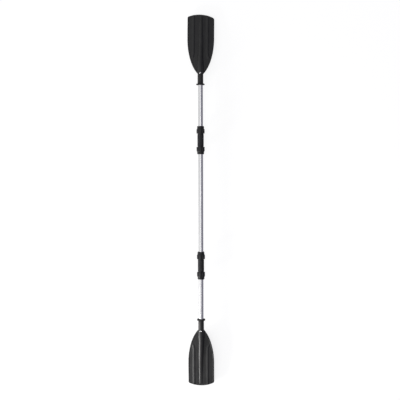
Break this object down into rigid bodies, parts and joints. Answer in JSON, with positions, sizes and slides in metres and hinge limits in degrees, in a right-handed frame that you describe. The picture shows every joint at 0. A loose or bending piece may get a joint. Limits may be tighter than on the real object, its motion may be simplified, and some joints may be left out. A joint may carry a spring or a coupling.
{
  "type": "kayak paddle",
  "caption": "Three-section double-bladed paddle with screw-lock ribbed couplers, round tube shaft, drip rings and spooned ribbed blades.",
  "frame": {"origin": "on the shaft's axis, at the middle of the middle tube", "axes": "+Y along the shaft towards the left blade, +Z out of the left blade's ridged back, +X across the left blade"},
  "size_m": [0.1597, 2.2, 0.0717],
  "materials": {
    "tube": "satin drawn and anodised",
    "plug": "moulded",
    "coupler": "moulded, ribbed",
    "lock_nut": "moulded, lobed",
    "collet": "plain acetal",
    "seal": "moulded",
    "blade": "fibre-filled, fine grain",
    "rivet": "bright domed head",
    "drip_ring": "moulded"
  },
  "bodies": {
    "middle_section": {"middle_tube": "tube", "left_middle_tube_plug": "plug", "right_middle_tube_plug": "plug"},
    "left_inner_seal": {"left_inner_seal": "seal"},
    "left_coupler_barrel": {"left_coupler_barrel": "coupler"},
    "left_inner_collet": {"left_inner_collet": "collet"},
    "left_inner_lock_nut": {"left_inner_lock_nut": "lock_nut"},
    "left_outer_collet": {"left_outer_collet": "collet"},
    "left_outer_lock_nut": {"left_outer_lock_nut": "lock_nut"},
    "left_outer_seal": {"left_outer_seal": "seal"},
    "left_blade_section": {"left_outer_tube": "tube", "left_outer_tube_plug": "plug", "left_blade": "blade", "left_blade_rivets": "rivet"},
    "left_drip_ring": {"left_drip_ring": "drip_ring"},
    "right_inner_seal": {"right_inner_seal": "seal"},
    "right_coupler_barrel": {"right_coupler_barrel": "coupler"},
    "right_inner_collet": {"right_inner_collet": "collet"},
    "right_inner_lock_nut": {"right_inner_lock_nut": "lock_nut"},
    "right_outer_collet": {"right_outer_collet": "collet"},
    "right_outer_lock_nut": {"right_outer_lock_nut": "lock_nut"},
    "right_outer_seal": {"right_outer_seal": "seal"},
    "right_blade_section": {"right_outer_tube": "tube", "right_outer_tube_plug": "plug", "right_blade": "blade", "right_blade_rivets": "rivet"},
    "right_drip_ring": {"right_drip_ring": "drip_ring"}
  },
  "joints": [
    {"name": "left_coupler_pull", "type": "slide", "parent": "middle_section", "child": "left_inner_seal", "axis": [0, 1, 0], "range_m": [0, 0.085]},
    {"name": "left_coupler_turn", "type": "hinge", "parent": "left_inner_seal", "child": "left_coupler_barrel", "pos_m": [0, 0.369, 0], "axis": [0, 1, 0], "continuous": true},
    {"name": "left_inner_collet_travel", "type": "slide", "parent": "left_coupler_barrel", "child": "left_inner_collet", "axis": [0, -1, 0], "range_m": [0, 0.016]},
    {"name": "left_inner_lock_nut_turn", "type": "hinge", "parent": "left_inner_collet", "child": "left_inner_lock_nut", "pos_m": [0, 0.309, 0], "axis": [0, -1, 0], "range_deg": [0, 1440]},
    {"name": "left_outer_collet_travel", "type": "slide", "parent": "left_coupler_barrel", "child": "left_outer_collet", "axis": [0, 1, 0], "range_m": [0, 0.016]},
    {"name": "left_outer_lock_nut_turn", "type": "hinge", "parent": "left_outer_collet", "child": "left_outer_lock_nut", "pos_m": [0, 0.429, 0], "axis": [0, 1, 0], "range_deg": [0, 1440]},
    {"name": "left_feather_turn", "type": "hinge", "parent": "left_coupler_barrel", "child": "left_outer_seal", "pos_m": [0, 0.369, 0], "axis": [0, 1, 0], "continuous": true},
    {"name": "left_blade_section_pull", "type": "slide", "parent": "left_outer_seal", "child": "left_blade_section", "axis": [0, 1, 0], "range_m": [0, 0.085]},
    {"name": "left_drip_ring_slide", "type": "slide", "parent": "left_blade_section", "child": "left_drip_ring", "axis": [0, -1, 0], "range_m": [0, 0.2]},
    {"name": "right_coupler_pull", "type": "slide", "parent": "middle_section", "child": "right_inner_seal", "axis": [0, -1, 0], "range_m": [0, 0.085]},
    {"name": "right_coupler_turn", "type": "hinge", "parent": "right_inner_seal", "child": "right_coupler_barrel", "pos_m": [0, -0.369, 0], "axis": [0, -1, 0], "continuous": true},
    {"name": "right_inner_collet_travel", "type": "slide", "parent": "right_coupler_barrel", "child": "right_inner_collet", "axis": [0, 1, 0], "range_m": [0, 0.016]},
    {"name": "right_inner_lock_nut_turn", "type": "hinge", "parent": "right_inner_collet", "child": "right_inner_lock_nut", "pos_m": [0, -0.309, 0], "axis": [0, 1, 0], "range_deg": [0, 1440]},
    {"name": "right_outer_collet_travel", "type": "slide", "parent": "right_coupler_barrel", "child": "right_outer_collet", "axis": [0, -1, 0], "range_m": [0, 0.016]},
    {"name": "right_outer_lock_nut_turn", "type": "hinge", "parent": "right_outer_collet", "child": "right_outer_lock_nut", "pos_m": [0, -0.429, 0], "axis": [0, -1, 0], "range_deg": [0, 1440]},
    {"name": "right_feather_turn", "type": "hinge", "parent": "right_coupler_barrel", "child": "right_outer_seal", "pos_m": [0, -0.369, 0], "axis": [0, -1, 0], "continuous": true},
    {"name": "right_blade_section_pull", "type": "slide", "parent": "right_outer_seal", "child": "right_blade_section", "axis": [0, -1, 0], "range_m": [0, 0.085]},
    {"name": "right_drip_ring_slide", "type": "slide", "parent": "right_blade_section", "child": "right_drip_ring", "axis": [0, 1, 0], "range_m": [0, 0.2]}
  ],
  "couplings": [
    {"joint": "left_inner_collet_travel", "follows": "left_inner_lock_nut_turn", "m_per_rad": 0.00063662},
    {"joint": "left_outer_collet_travel", "follows": "left_outer_lock_nut_turn", "m_per_rad": 0.00063662},
    {"joint": "right_inner_collet_travel", "follows": "right_inner_lock_nut_turn", "m_per_rad": 0.00063662},
    {"joint": "right_outer_collet_travel", "follows": "right_outer_lock_nut_turn", "m_per_rad": 0.00063662}
  ]
}
